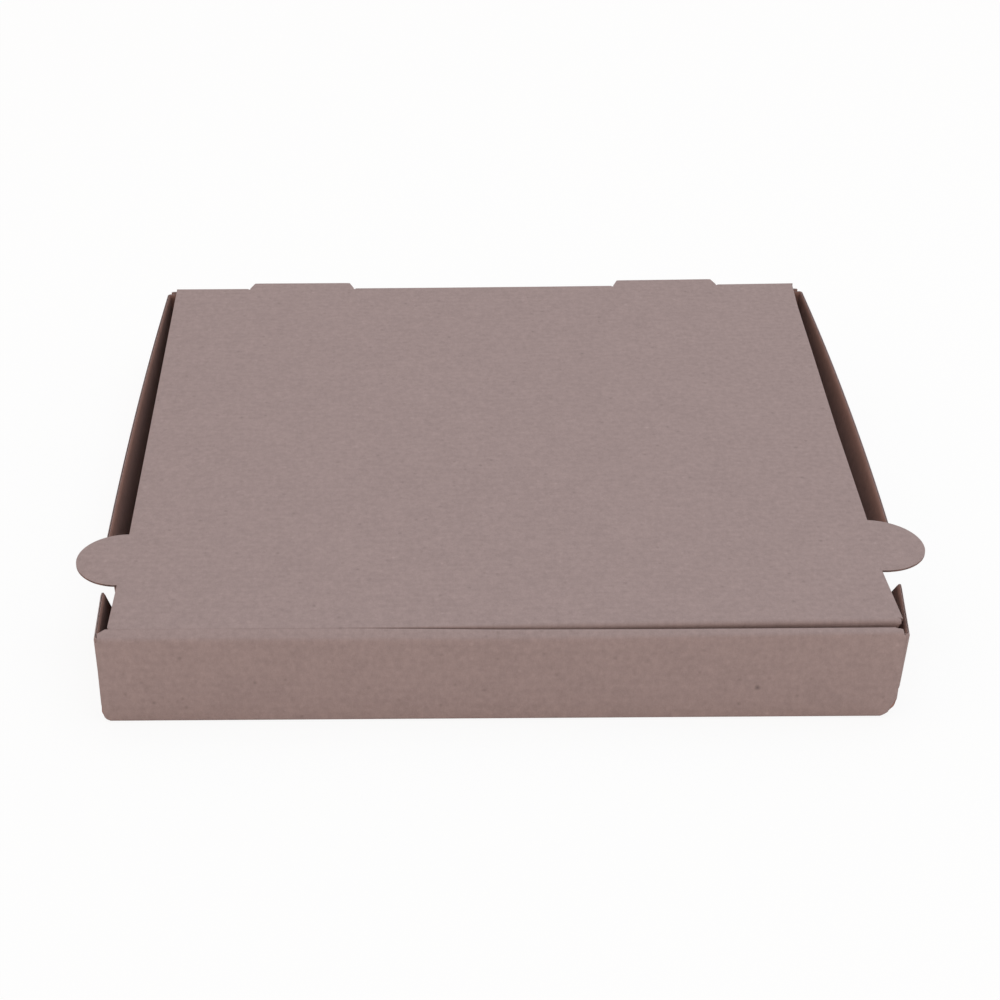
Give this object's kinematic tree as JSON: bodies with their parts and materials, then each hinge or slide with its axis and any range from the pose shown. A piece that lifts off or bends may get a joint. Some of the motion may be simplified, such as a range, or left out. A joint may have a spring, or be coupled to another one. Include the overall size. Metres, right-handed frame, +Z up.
{
  "type": "pizza box",
  "caption": "Flat square carton for a pizza, folded from plain brown corrugated board, with a lid hinged at the rear, round side ears and a tuck-in front flap.",
  "frame": {"origin": "middle of the underside of the tray's base", "axes": "+X to the right-hand side wall, +Y to the rear wall and its hinge, +Z up"},
  "size_m": [0.3095, 0.2861, 0.036],
  "materials": {
    "kraft_board": "matt, unprinted grey-brown kraft liner"
  },
  "bodies": {
    "tray": {"tray": "kraft_board"},
    "lid": {"lid": "kraft_board"}
  },
  "joints": [
    {"name": "lid_hinge", "type": "hinge", "parent": "tray", "child": "lid", "pos_m": [0, 0.13925, 0.03525], "axis": [-1, -0.0087, 0], "range_deg": [0, 180]}
  ]
}
